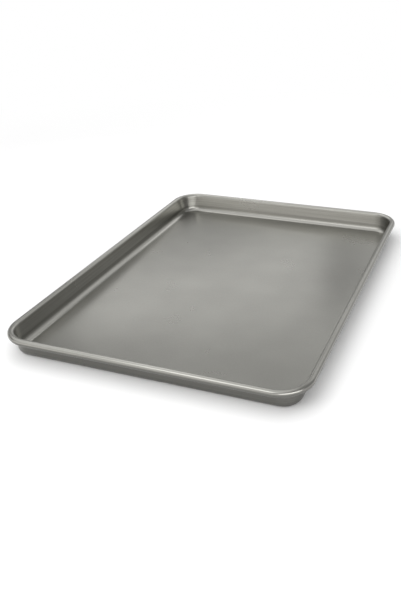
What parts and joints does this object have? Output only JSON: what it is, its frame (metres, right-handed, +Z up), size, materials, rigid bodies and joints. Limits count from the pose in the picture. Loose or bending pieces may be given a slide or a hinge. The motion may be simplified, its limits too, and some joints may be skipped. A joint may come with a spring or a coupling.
{
  "type": "sheet pan",
  "caption": "Shallow rectangular sheet pan with sloping walls, round corners and an edge rolled over a stiffening wire, coated non-stick, for baking and roasting.",
  "frame": {"origin": "centre of the flat base, on the surface that the pan rests on", "axes": "+X across the pan, +Y along its length, +Z up out of the tray"},
  "size_m": [0.33, 0.457, 0.025],
  "materials": {
    "coated_steel": "grey metallic non-stick coating, satin",
    "zinced_wire": "plain drawn wire with a thin zinc coat"
  },
  "bodies": {
    "root": {"pan_shell": "coated_steel", "rim_wire": "zinced_wire"}
  },
  "joints": []
}
